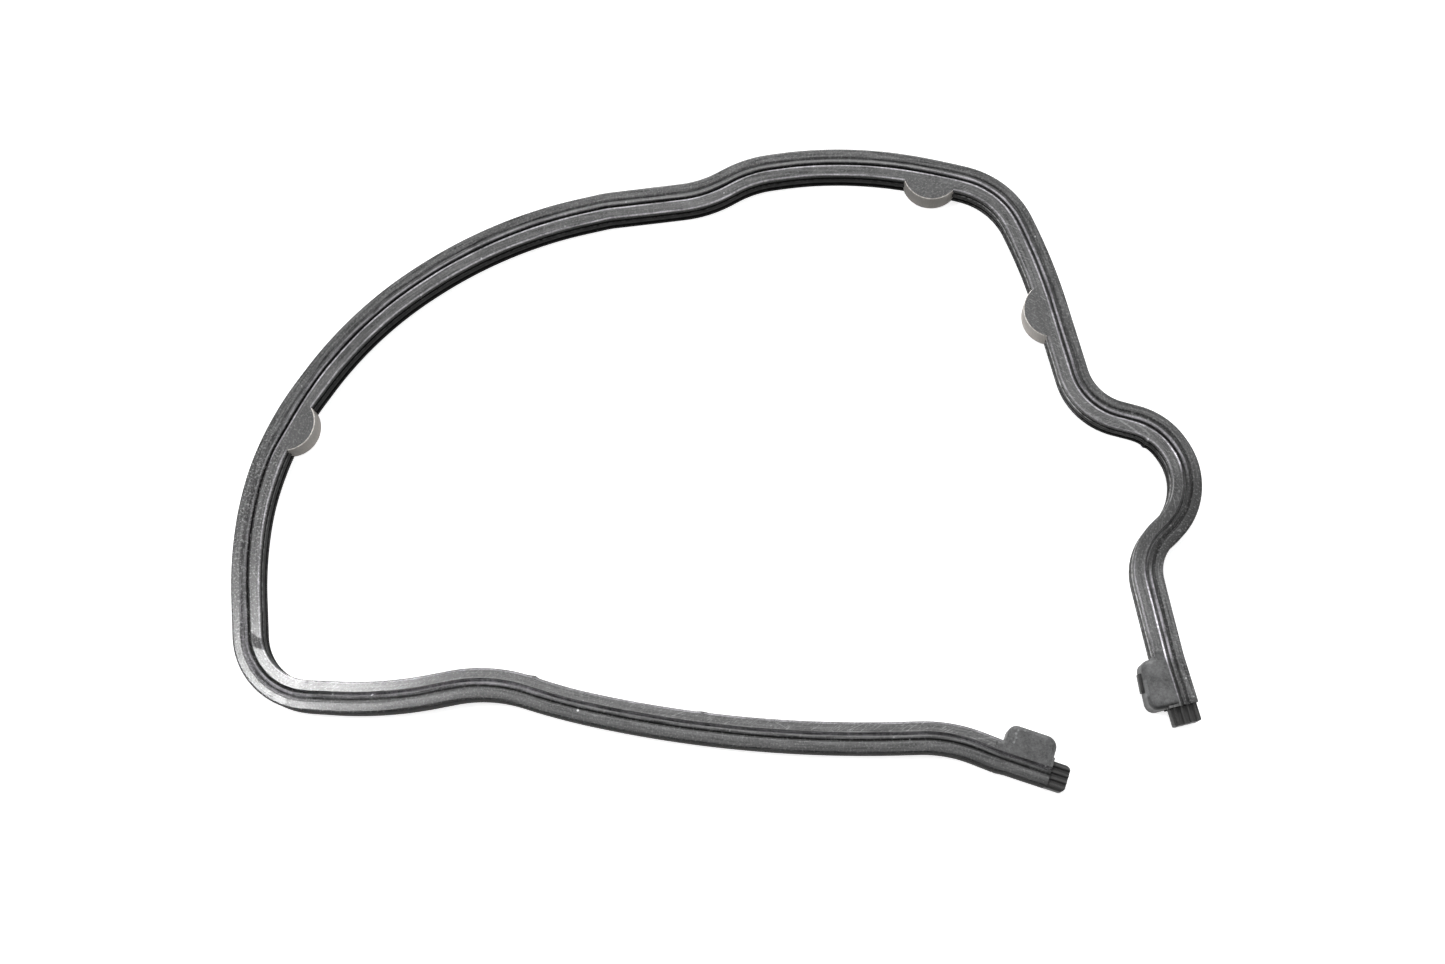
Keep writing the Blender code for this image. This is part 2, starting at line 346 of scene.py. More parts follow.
def section_corners():
    """Corners of the section, each with the size of its rounding; the back mirrors the top."""
    wall = HALF_WIDTH
    rib_top = TOP - LIP - CHANNEL
    upper = [
        (-wall, TOP, OUTER_EDGE_ROUND),
        (-wall + OUTER_EDGE_MARGIN, TOP, 0),
        (OUTER_LAND_END - OUTER_LAND_MARGIN, TOP, 0),
        (OUTER_LAND_END, TOP, OUTER_LAND_ROUND),
        (OUTER_FLOOR[0], TOP - OUTER_FLOOR_DEPTH, FLOOR_ROUND),
        (OUTER_FLOOR[1], TOP - OUTER_FLOOR_DEPTH, FLOOR_ROUND),
        (CREST[0], TOP - CREST_DROP, CREST_ROUND),
        (CREST[1], TOP, CREST_ROUND),
        (INNER_FLOOR[0], TOP - INNER_FLOOR_DEPTH, FLOOR_ROUND),
        (INNER_FLOOR[1], TOP - INNER_FLOOR_DEPTH, FLOOR_ROUND),
        (INNER_LAND_START, TOP, INNER_LAND_ROUND),
        (INNER_LAND_START + INNER_MARGIN, TOP, 0),
        (wall - INNER_MARGIN, TOP, 0),
        (wall, TOP, INNER_EDGE_ROUND),
        (wall, TOP - INNER_MARGIN, 0),
        (wall, TOP - LIP, LIP_ROUND),
        (wall - CHANNEL_DEPTH, TOP - LIP - CHANNEL_DEPTH / 2, CHANNEL_ROUND),
        (wall - CHANNEL_DEPTH, rib_top + CHANNEL_DEPTH / 2, CHANNEL_ROUND),
        (wall, rib_top, LIP_ROUND),
    ]
    return upper + [(across, TOP - up, size) for across, up, size in reversed(upper)]


def strip(route):
    """The section pulled into a straight bar of many stations, which is then laid along the route."""
    bm = bmesh.new()
    start = TONGUE_LENGTH
    length = route.length - 2 * TONGUE_LENGTH
    steps = round(length / STATION_GAP)
    faces = outline_face(bm, section_corners())
    pull(bm, faces, (0, length, 0))
    long_edges = [edge for edge in bm.edges if edge.calc_length() > length / 2]
    bmesh.ops.subdivide_edges(bm, edges=long_edges, cuts=steps - 1)
    give_strip_finish(bm)
    along = bm.verts.layers.float.new("along")
    across = bm.verts.layers.float.new("across")
    for vert in sorted(bm.verts, key=lambda vert: vert.co.y):
        vert[along] = start + vert.co.y
        vert[across] = vert.co.x
        vert.co = route.frame(vert[along]) @ Vector((settled(vert.co.x, vert[along]), 0, vert.co.z))
    bmesh.ops.recalc_face_normals(bm, faces=bm.faces)
    return bm


# Ears, blocks and tongues

def ear():
    """A disc on the strip's middle, cut off where it would reach the groove."""
    bm = bmesh.new()
    bmesh.ops.create_cone(bm, cap_ends=True, segments=EAR_SIDES, radius1=EAR_RADIUS, radius2=EAR_RADIUS,
                          depth=TOP, matrix=Matrix.Translation((0, 0, TOP / 2 + FLUSH)))
    rims = [edge for edge in bm.edges if abs(edge.verts[0].co.z - edge.verts[1].co.z) < TOP / 2]
    round_edges(bm, rims, EAR_RIM, EAR_RIM_SEGMENTS)
    foot = (INNER_LAND_START + HALF_WIDTH) / 2
    cut = bmesh.ops.bisect_plane(bm, geom=bm.verts[:] + bm.edges[:] + bm.faces[:],
                                 plane_co=(foot, 0, 0), plane_no=(1, 0, 0), clear_inner=True)
    open_edges = [item for item in cut["geom_cut"] if isinstance(item, bmesh.types.BMEdge)]
    bmesh.ops.contextual_create(bm, geom=open_edges)
    return bm


def end_block(side):
    """The block beside an end face; side is 1 where the route leaves that face, -1 where it arrives."""
    near_corner, far_corner = BLOCK_CORNERS[side]
    reach = HALF_WIDTH + BLOCK_REACH
    near = side * BLOCK_SETBACK
    far = side * BLOCK_LENGTH
    tail = far + side * BLOCK_TAIL
    corners = [
        (BLOCK_FOOT, near, 0),
        (reach, near, near_corner),
        (reach - BLOCK_LEAN[side], far, far_corner),
        (HALF_WIDTH, far, BLOCK_FILLET),
        (HALF_WIDTH - BLOCK_TAIL_INSET, tail, 0),
        (BLOCK_FOOT, tail, 0),
    ]
    bm = bmesh.new()
    stations = rounded(corners, closed=True, sag=BLOCK_SAG)
    face = bm.faces.new([bm.verts.new((point.x, point.y, 0)) for point, heading in stations])
    pull(bm, [face], (0, 0, TOP + BLOCK_RISE))
    bmesh.ops.recalc_face_normals(bm, faces=bm.faces)
    shoulder = [edge for edge in bm.edges
                if all(vert.co.z > TOP for vert in edge.verts)
                and any(vert.co.x > BLOCK_SHOULDER for vert in edge.verts)]
    round_edges(bm, shoulder, BLOCK_EDGE, BLOCK_EDGE_SEGMENTS)
    return bm


def flash():
    """A dark sliver left standing on the side of end B's block."""
    bm = bmesh.new()
    spot = (HALF_WIDTH + BLOCK_REACH - FLASH_INSET, FLASH_DISTANCE, FLASH_HEIGHT)
    turned = Matrix.Translation(spot) @ Matrix.Rotation(FLASH_TURN, 4, "Z")
    bmesh.ops.create_cube(bm, size=1, matrix=turned @ Matrix.Diagonal((*FLASH_SIZE, 1)))
    round_edges(bm, bm.edges[:], FLASH_EDGE, 2)
    return bm


def tongue(side):
    """The ribbed tongue beyond an end face."""
    half = TONGUE_WIDTH / 2
    corner = TONGUE_CORNERS[side]
    foot = TOP / 2 + TONGUE_THICKNESS / 2
    upper = [(-half, foot, TONGUE_ROUND)]
    for i in range(RIB_COUNT):
        middle = (i - (RIB_COUNT - 1) / 2) * RIB_PITCH
        upper += [
            (middle - RIB_WIDTH / 2, foot, RIB_FOOT_ROUND),
            (middle - RIB_WIDTH / 2 + RIB_DRAFT, foot + RIB_HEIGHT, RIB_TOP_ROUND),
            (middle + RIB_WIDTH / 2 - RIB_DRAFT, foot + RIB_HEIGHT, RIB_TOP_ROUND),
            (middle + RIB_WIDTH / 2, foot, RIB_FOOT_ROUND),
        ]
    upper.append((half, foot, TONGUE_ROUND))
    bm = bmesh.new()
    corners = upper + [(across, TOP - up, size) for across, up, size in reversed(upper)]
    faces = outline_face(bm, corners)
    root = side * TONGUE_ROOT
    tip = -side * TONGUE_LENGTH
    bmesh.ops.translate(bm, vec=(0, root, 0), verts=bm.verts)
    pull(bm, faces, (0, tip - root, 0))
    for k in range(1, TONGUE_CUTS + 1):
        cut = tip + side * corner * (1 - math.cos(math.pi / 2 * k / TONGUE_CUTS))
        bmesh.ops.bisect_plane(bm, geom=bm.verts[:] + bm.edges[:] + bm.faces[:], plane_co=(0, cut, 0),
                               plane_no=(0, 1, 0))
    for vert in bm.verts:
        left = corner - min(corner, abs(vert.co.y - tip))
        limit = half - corner + math.sqrt(corner ** 2 - left ** 2)
        vert.co.x = max(-limit, min(limit, vert.co.x))
    bmesh.ops.translate(bm, vec=(TONGUE_SHIFT[side], 0, 0), verts=bm.verts)
    bmesh.ops.remove_doubles(bm, verts=bm.verts, dist=MERGE_DISTANCE)
    bmesh.ops.recalc_face_normals(bm, faces=bm.faces)
    return bm


# Materials

class Value:
    """A socket of a material; a sum that is written with it adds its Math nodes."""

    def __init__(self, finish, socket):
        self.finish = finish
        self.socket = socket

    def math(self, operation, *others, clamp=False):
        return self.finish.node("ShaderNodeMath", {"operation": operation, "use_clamp": clamp},
                                {i: other for i, other in enumerate((self,) + others)})

    def __add__(self, other):
        return self.math("ADD", other)

    def __sub__(self, other):
        return self.math("SUBTRACT", other)

    def __mul__(self, other):
        return self.math("MULTIPLY", other)

    def __truediv__(self, other):
        return self.math("DIVIDE", other)

    def __rsub__(self, other):
        return self.finish.node("ShaderNodeMath", {"operation": "SUBTRACT"}, {0: other, 1: self})

    def __abs__(self):
        return self.math("ABSOLUTE")

    __radd__ = __add__
    __rmul__ = __mul__


class Finish:
    """One material, whose nodes are added by calls."""

    def __init__(self, name, **constants):
        self.material = bpy.data.materials.new(name)
        self.material.use_nodes = True
        self.tree = self.material.node_tree
        self.shader = self.tree.nodes["Principled BSDF"]
        for socket, value in constants.items():
            self.shader.inputs[socket.replace("_", " ")].default_value = value

    def node(self, kind, settings=None, sockets=None, output=0):
        """Adds a node: its settings first, then the values or links of its sockets."""
        made = self.tree.nodes.new(kind)
        for name, value in (settings or {}).items():
            if name == "stops":
                ramp = made.color_ramp
                while len(ramp.elements) < len(value):
                    ramp.elements.new(0.5)
                for element, (position, tone) in zip(ramp.elements, value):
                    element.position = position
                    element.color = (tone, tone, tone, 1)
            else:
                setattr(made, name, value)
        for name, value in (sockets or {}).items():
            self.feed(made.inputs[name], value)
        return Value(self, made.outputs[output])

    def feed(self, socket, value):
        if isinstance(value, Value):
            self.tree.links.new(value.socket, socket)
        else:
            socket.default_value = value

    def set(self, **sockets):
        """Feeds the shader's own sockets."""
        for name, value in sockets.items():
            self.feed(self.shader.inputs[name.replace("_", " ")], value)

    def attribute(self, name):
        return self.node("ShaderNodeAttribute", {"attribute_name": name}, output="Fac")

    def place(self):
        """Where a point is on the object."""
        return self.node("ShaderNodeTexCoord", output="Object")

    def vector(self, x, y, z=0.0):
        return self.node("ShaderNodeCombineXYZ", sockets={0: x, 1: y, 2: z})

    def noise(self, vector, size, detail=3.0, rough=0.6):
        """A cloudy pattern from 0 to 1, whose features are about this size."""
        return self.node("ShaderNodeTexNoise", sockets={
            "Vector": vector, "Scale": 1 / size, "Detail": detail, "Roughness": rough}, output="Fac")

    def ramp(self, value, low, high, start=0.0, end=1.0):
        """Goes smoothly from start to end while the value goes from low to high."""
        return self.node("ShaderNodeMapRange", {"interpolation_type": "SMOOTHSTEP"}, {
            "Value": value, "From Min": low, "From Max": high, "To Min": start, "To Max": end})

    def band(self, value, low, high, soft):
        """1 between low and high, with soft sides."""
        rise = self.ramp(value, low - soft, low + soft)
        return rise * self.ramp(value, high - soft, high + soft, 1.0, 0.0)

    def tones(self, value, low, high, stops):
        """A tone that runs through the stops (place in millimetres, tone), all between low and high."""
        shares = [((place * MM - low) / (high - low), tone) for place, tone in stops]
        colour = self.node("ShaderNodeValToRGB", {"stops": shares}, {"Fac": (value - low) / (high - low)})
        return self.node("ShaderNodeSeparateColor", sockets={0: colour})

    def grey(self, tone, warmth=0.0, lilac=0.0):
        """A grey of this strength, as a colour; warmth moves it from bluish to brownish."""
        red = tone * (1 + warmth + lilac * 0.3)
        green = tone * (1 - lilac * 0.5)
        blue = tone * (1 - warmth + lilac)
        return self.node("ShaderNodeCombineColor", sockets={0: red, 1: green, 2: blue})

    def bumps(self, height, distance, strength):
        return self.node("ShaderNodeBump", sockets={
            "Height": height, "Distance": distance, "Strength": strength})


class Rubber(Finish):
    """A finish whose patterns follow the strip; its noises go from 0 to 1."""

    def __init__(self, name, **constants):
        super().__init__(name, **constants)
        self.along = self.attribute("along")
        self.across = self.attribute("across")
        self.up = self.node("ShaderNodeSeparateXYZ", sockets={0: self.place()}, output="Z")

    def streaks(self):
        """Long streaks along the strip."""
        return self.noise(self.vector(self.along * 0.06, self.across, self.up), 0.45 * MM, detail=2.0)

    def blotches(self):
        return self.noise(self.vector(self.along, self.across), 4 * MM)

    def grain(self):
        return self.noise(self.place(), 0.5 * MM, detail=2.0, rough=0.8)

    def scuffs(self):
        return self.noise(self.vector(self.along, self.across * 0.3), 1.5 * MM, detail=4.0, rough=0.7)

    def scrapes(self):
        """Fine slanted scrapes, as many as SCRAPED says."""
        aside = self.along * 0.6 + self.across * 0.8
        forward = self.along * 0.8 - self.across * 0.6
        slanted = self.noise(self.vector(aside, forward * 0.13), 0.3 * MM, detail=2.0)
        return self.ramp(slanted, 0.54, 0.68) * self.by_way(SCRAPED)

    def specks(self):
        return self.ramp(self.noise(self.place(), 0.5 * MM, detail=1.0), 0.55, 0.68)

    def by_way(self, table):
        """A tone that changes along the strip."""
        return self.tones(self.along, 0.0, TONES_END, table)

    def spots(self, table):
        """Round marks, each given by its place along and across the strip, radius and strength."""
        here = self.vector(self.along, self.across)
        marks = 0.0
        for spot_along, spot_across, radius, strength in table:
            away = self.node("ShaderNodeVectorMath", {"operation": "DISTANCE"},
                             {0: here, 1: (spot_along * MM, spot_across * MM, 0)}, output="Value")
            marks = self.ramp(away, radius * 0.5 * MM, radius * MM, strength, 0.0) + marks
        return marks

    def scratches(self, side, table):
        """Straight marks, each from one place (along, side) to another, with its width and strength."""
        marks = 0.0
        for start_along, start_side, end_along, end_side, width, strength in table:
            length = math.hypot(end_along - start_along, end_side - start_side)
            way_along, way_side = (end_along - start_along) / length, (end_side - start_side) / length
            past_along, past_side = self.along - start_along * MM, side - start_side * MM
            forward = past_along * way_along + past_side * way_side
            aside = abs(past_side * way_along - past_along * way_side)
            inside = self.band(forward, SCRATCH_FADE, length * MM - SCRATCH_FADE, 1.5 * SCRATCH_FADE)
            marks = self.ramp(aside, width * 0.3 * MM, width * MM, strength, 0.0) * inside + marks
        return marks


# Faces and their finishes

LAND, EAR_TOP, RIM, INNER_WALL, OUTER_WALL, EAR_SIDE, BLOCK, TONGUE = range(8)


def give_strip_finish(bm):
    """Chooses the finish of each face of the bar while it's still straight."""
    bm.normal_update()
    for face in bm.faces:
        face.smooth = len(face.verts) < FLAT_END_CORNERS
        middle = face.calc_center_median()
        depth = min(TOP - middle.z, middle.z)
        if abs(middle.x) > HALF_WIDTH - WALL_ZONE and depth > WALL_DEPTH:
            face.material_index = INNER_WALL if middle.x > 0 else OUTER_WALL
        else:
            face.material_index = OUTER_WALL if abs(face.normal.y) > FACES_ALONG else LAND


def give_finish(bm, side, slanted, top):
    """One finish for the sides, one for the rims and another for what faces up or down."""
    bm.normal_update()
    for face in bm.faces:
        up = abs(face.normal.z)
        face.material_index = top if up > FACES_UP else slanted if up > FACES_SLANTED else side
        face.smooth = len(face.verts) < FLAT_END_CORNERS
    return bm


def gasket_parts(route):
    """The strip, and the closed shapes that stand in it."""
    yield strip(route)
    for distance in EAR_DISTANCES:
        yield give_finish(place(ear(), route, distance), EAR_SIDE, RIM, EAR_TOP)
    end_b = route.length - TONGUE_LENGTH
    for distance, side in ((TONGUE_LENGTH, 1), (end_b, -1)):
        yield give_finish(place(end_block(side), route, distance), BLOCK, BLOCK, BLOCK)
        yield give_finish(place(tongue(side), route, distance), TONGUE, TONGUE, TONGUE)
    yield give_finish(place(flash(), route, end_b), TONGUE, TONGUE, TONGUE)


def build_gasket():
    """All parts in one mesh, whose middle is the solid's."""
    whole = bmesh.new()
    for bm in gasket_parts(Route(ROUTE)):
        mesh = bpy.data.meshes.new("part")
        bm.to_mesh(mesh)
        bm.free()
        whole.from_mesh(mesh)
        bpy.data.meshes.remove(mesh)
    low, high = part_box("gasket")
    xs = [vert.co.x for vert in whole.verts]
    ys = [vert.co.y for vert in whole.verts]
    shift = ((low[0] + high[0] - min(xs) - max(xs)) / 2, (low[1] + high[1] - min(ys) - max(ys)) / 2, 0)
    bmesh.ops.translate(whole, vec=shift, verts=whole.verts)
    mesh = bpy.data.meshes.new("gasket_rubber")
    whole.to_mesh(mesh)
    whole.free()
    mesh.set_sharp_from_angle(angle=SHARP_ANGLE)
    for face in mesh.polygons:
        face.use_smooth = len(face.vertices) < FLAT_END_CORNERS
    thing = bpy.data.objects.new("gasket_rubber", mesh)
    bpy.context.scene.collection.objects.link(thing)
    return thing


# Tones of the top across the strip: distance from its middle in millimetres, and how pale it is there
# The pale lines at the bead's crest and at the lands' rims are wear and painted highlight together; the
# dark grooves are painted shade
TONES_ACROSS = (
    (-3.4, 0.085), (-3.1, 0.08), (-2.4, 0.085), (-1.6, 0.095), (-1.4, 0.08), (-1.15, 0.05), (-0.85, 0.04),
    (-0.65, 0.07), (-0.45, 0.11), (-0.15, 0.1), (0.02, 0.05), (0.1, 0.012), (0.45, 0.012), (0.6, 0.04),
    (0.68, 0.38), (0.96, 0.4), (1.06, 0.085), (2.84, 0.08), (2.93, 0.26), (3.14, 0.3), (3.25, 0.11),
    (3.4, 0.04),
)
TONES_REACH = 3.6 * MM

# The tables from here on run along the strip: distance from end A's tip in millimetres, and a value there.
# How much darker or paler the top is; the drop at end B's end face is painted shade
TONES_ALONG = (
    (4.2, 0.3), (5.2, 0.8), (40, 0.93), (170, 0.95), (260, 1.0), (380, 1.0), (430, 0.95), (500, 0.8),
    (518, 0.9), (524.3, 0.8), (525.8, 0.24), (545, 0.25), (551, 1.0), (575, 1.15), (580.3, 1.15),
    (581.2, 0.4),
)
TONES_END = 600 * MM
# The same for the outer half of the outer land alone; its darker stretches are painted shade of the rounded
# outer edge, and it shines less there too
OUTER_TONES = (
    (0, 0.5), (110, 0.5), (150, 0.4), (172, 1.0), (520, 1.0), (530, 0.95), (545, 0.95), (552, 1.1),
)
# The same for the bead and for the inner groove's rim, in thirds, since a table's values stop at 1; their
# pale lines are wear and painted highlight together
BEAD_TONES = (
    (13, 0.34), (18, 0.45), (110, 0.45), (125, 0.6), (170, 0.6), (185, 0.95), (205, 0.5), (235, 0.45),
    (262, 0.6), (330, 0.6), (345, 0.42), (385, 0.3), (412, 0.33), (436, 0.9), (480, 0.98), (498, 0.98),
    (512, 0.85), (518, 0.9), (524, 0.95), (525, 0.35), (550, 0.35), (552, 0.95), (569, 0.95), (571, 0.3),
)
RIM_TONES = (
    (0, 0.12), (180, 0.1), (205, 0.04), (232, 0.04), (242, 0.33), (262, 0.38), (412, 0.3), (436, 0.36),
    (510, 0.36), (519, 0.75), (524, 0.8), (525, 0.12), (550, 0.12), (552, 0.85), (569, 0.88), (571, 0.15),
)
# What is added to the tone in each groove: painted light where it lifts their shade, painted shade where it
# deepens it; the outer groove's has a lift, since a value can't go below 0
INNER_GROOVE_TONES = (
    (13, 0.16), (18, 0.15), (110, 0.15), (125, 0.2), (160, 0.2), (180, 0.03), (200, 0.0), (425, 0.0),
    (436, 0.06), (500, 0.06), (512, 0.03), (524, 0.03), (526, 0.12), (569, 0.12), (571, 0.05),
)
OUTER_GROOVE_TONES = (
    (13, 0.04), (18, 0.0), (118, 0.0), (135, 0.03), (170, 0.09), (180, 0.17), (203, 0.15), (215, 0.07),
    (260, 0.1), (412, 0.09), (436, 0.05), (500, 0.05), (526, 0.03), (545, 0.03), (552, 0.02),
)
OUTER_GROOVE_LIFT = 0.04
# How much the lands shine, in halves of their usual shine
OUTER_SHINE = (
    (0, 0.3), (120, 0.35), (140, 0.55), (156, 0.3), (172, 0.28), (181, 0.52), (203, 0.7), (214, 0.64),
    (222, 0.26), (235, 0.22),
)
INNER_SHINE = (
    (110, 0.5), (122, 0.9), (150, 0.75), (160, 0.45), (172, 0.38), (182, 0.5), (203, 0.44), (212, 0.36),
    (240, 0.38), (255, 0.5), (515, 0.5), (526, 0.35), (546, 0.35), (552, 0.5),
)
# How speckled and how scraped the rubber is
SPECKLED = ((0, 0.15), (165, 0.25), (195, 0.7), (236, 0.8), (250, 0.2), (430, 0.2), (500, 0.25), (552, 0.3))
SCRAPED = (
    (0, 0.0), (14, 0.3), (18, 1.0), (60, 1.0), (90, 0.6), (215, 0.3), (240, 0.4), (260, 0.1), (380, 0.1),
    (430, 0.5), (500, 0.8), (522, 0.7), (528, 0.4), (548, 0.4), (560, 0.3),
)
# How pale the inner wall and the ears' sides are; the wall's paler stretches and the third ear's paler
# sides are painted light
WALL_TONES = (
    (0, 0.02), (150, 0.02), (190, 0.015), (205, 0.035), (238, 0.035), (255, 0.014), (420, 0.012),
    (436, 0.05), (446, 0.12), (494, 0.16), (499, 0.03), (516, 0.025), (520, 0.09), (535, 0.1), (548, 0.09),
    (556, 0.22), (570, 0.18),
)
EAR_SIDE_TONES = ((240, 0.36), (425, 0.36), (460, 0.62), (485, 0.62))

# Marks, all in millimetres. Dust and stains: place along and across, radius and strength
DUST = (
    (5.5, 0.75, 0.3, 0.5), (36.0, -0.9, 0.2, 0.2), (39.5, -0.4, 0.22, 0.25), (53.0, 0.9, 0.25, 0.12),
    (76.0, -0.4, 0.25, 0.2), (110.4, -1.45, 0.34, 0.6), (109.8, 1.0, 0.2, 0.25), (158.6, 0.15, 0.34, 0.7),
    (167.8, 0.2, 0.26, 0.5), (229.0, -1.5, 0.25, 0.25), (256.8, -1.8, 0.2, 0.2), (292.6, 3.2, 0.25, 0.3),
    (310.1, 2.9, 0.3, 0.35), (332.3, 2.6, 0.22, 0.2), (348.0, -0.4, 0.25, 0.25), (371.2, 2.0, 0.25, 0.25),
    (453.6, -1.85, 0.28, 0.35), (446.6, -2.6, 0.22, 0.2), (474.0, -2.8, 0.35, 0.1),
    (575.6, -2.1, 0.28, 0.35), (579.9, -2.6, 0.25, 0.3), (512.2, 3.1, 0.3, 0.4), (506.2, -1.2, 0.4, 0.16),
    (509.8, -1.0, 0.3, 0.14), (527.6, 0.7, 0.25, 0.1), (529.2, 1.6, 0.35, 0.1), (537.6, -2.2, 0.4, 0.08),
    (538.1, 0.0, 0.3, 0.16),
)
STAINS = (
    (174.0, 2.85, 0.5, 0.5), (169.6, 3.1, 0.45, 0.35), (213.5, 2.6, 0.6, 0.3), (262.0, 2.0, 0.7, 0.1),
    (82.5, 3.3, 0.6, 0.6), (122.3, 3.4, 0.8, 0.6), (393.5, 1.8, 1.6, 0.22), (396.8, 1.6, 1.2, 0.2),
    (409.5, 1.8, 1.8, 0.25), (326.5, 2.0, 1.4, 0.22), (377.0, 2.2, 1.5, 0.12),
)
# Scratches: from one place along and across to another, width and strength
SCRATCHES = (
    (503.6, 1.2, 508.8, 3.0, 0.3, 0.13), (507.5, 1.2, 512.3, 2.3, 0.32, 0.09),
    (525.6, 3.02, 533.0, 3.05, 0.2, 0.16), (530.0, 2.3, 531.8, 1.1, 0.22, 0.07),
    (18.5, 3.0, 21.5, 1.1, 0.15, 0.12), (33.5, 3.2, 36.5, 1.1, 0.15, 0.12),
    (46.0, 3.1, 50.0, 1.1, 0.16, 0.12), (63.5, 1.4, 66.2, 2.7, 0.14, 0.12),
    (86.5, 3.0, 89.5, 1.2, 0.15, 0.12), (447.5, 2.9, 450.5, 1.1, 0.14, 0.1),
    (467.0, 2.8, 469.5, 1.3, 0.14, 0.14), (208.0, 3.0, 211.0, 1.3, 0.14, 0.1),
    (531.0, 2.8, 534.0, 1.2, 0.15, 0.1),
)
SCRATCH_FADE = 0.2 * MM
# The pale hook on the inner wall: the same, with the height in place of across
WALL_HOOK = ((291.8, 4.4, 293.4, 5.4, 0.22, 0.2), (292.4, 3.9, 292.0, 4.6, 0.2, 0.12))
# Pale places on the blocks, and pale lines along their edges after them: painted highlight on the blocks'
# rounded edges and sloping tops
BLOCK_MARKS = (
    (13.6, 3.6, 0.35, 0.12), (13.3, 4.7, 0.3, 0.1), (13.7, 5.6, 0.35, 0.14), (13.4, 6.5, 0.3, 0.1),
    (12.0, 6.9, 0.4, 0.06), (14.3, 4.2, 0.3, 0.07), (577.0, 5.0, 2.6, 0.03), (578.8, 2.6, 1.6, 0.03),
    (571.8, 3.8, 2.4, 0.05), (580.7, 3.2, 0.3, 0.25),
)
# Painted highlight lines along the blocks' top edges: from one place along and across to another, width and
# strength
BLOCK_EDGES = ((573.6, 6.75, 577.6, 7.05, 0.5, 0.1), (13.5, 3.4, 13.5, 6.9, 0.25, 0.04))

# The matte patch on the inner land, in the corner, whose ends are slanted
PATCH = (193.4 * MM, 196.9 * MM)
PATCH_SLANT = 0.9
# Where the outer land's outer half fades into its inner half, and end B's block into the painted shade of
# its end face
OUTER_HALF_FADE = (-3.3 * MM, -1.8 * MM)
BLOCK_FACE_FADE = (579.9 * MM, 580.8 * MM)
# Heights of the fine lines on the inner wall, painted highlight along its lips' edges
WALL_LINES = (0.9 * MM, 2.2 * MM, 3.8 * MM, 5.1 * MM)
WALL_LINE_HALF = 0.12 * MM
DARKEST_LAND = 0.006
DARKEST_WALL = 0.003


# Finishes

def land_tones(rubber, dulled_and_shaded):
    """The tone of each zone across the top, with painted highlight on the bead and rims and painted light
    and shade in the grooves, changed along the strip as the tables say.
    """
    across = rubber.across
    tone = rubber.tones(across, -TONES_REACH, TONES_REACH, TONES_ACROSS)
    tone = tone * rubber.by_way(TONES_ALONG) * dulled_and_shaded
    # The bead's and the rim's pale lines are wear and painted highlight together
    bead = rubber.band(across, CREST[0] - 0.1 * MM, CREST[1] + 0.05 * MM, 0.12 * MM)
    rim = rubber.band(across, INNER_LAND_START - 0.08 * MM, INNER_LAND_START + 0.3 * MM, 0.06 * MM)
    for zone, table in ((bead, BEAD_TONES), (rim, RIM_TONES)):
        tone = tone * (1 + zone * (rubber.by_way(table) * 3 - 1))
    # Painted light and shade in the grooves
    inner_groove = rubber.band(across, CREST[1] + 0.05 * MM, INNER_LAND_START - 0.08 * MM, 0.07 * MM)
    outer_groove = rubber.band(across, OUTER_LAND_END, CREST[0] - 0.15 * MM, 0.12 * MM)
    return tone + inner_groove * rubber.by_way(INNER_GROOVE_TONES) \
        + outer_groove * (rubber.by_way(OUTER_GROOVE_TONES) - OUTER_GROOVE_LIFT)


def give_worn_surface(rubber, streaks, blotches, grain):
    """The roughness and the fine bumps of worn rubber."""
    rubber.set(Roughness=0.45 + (streaks - 0.5) * 0.4 + (blotches - 0.5) * 0.2)
    rubber.set(Normal=rubber.bumps(streaks * 0.5 + grain * 0.5, 0.05 * MM, 0.6))


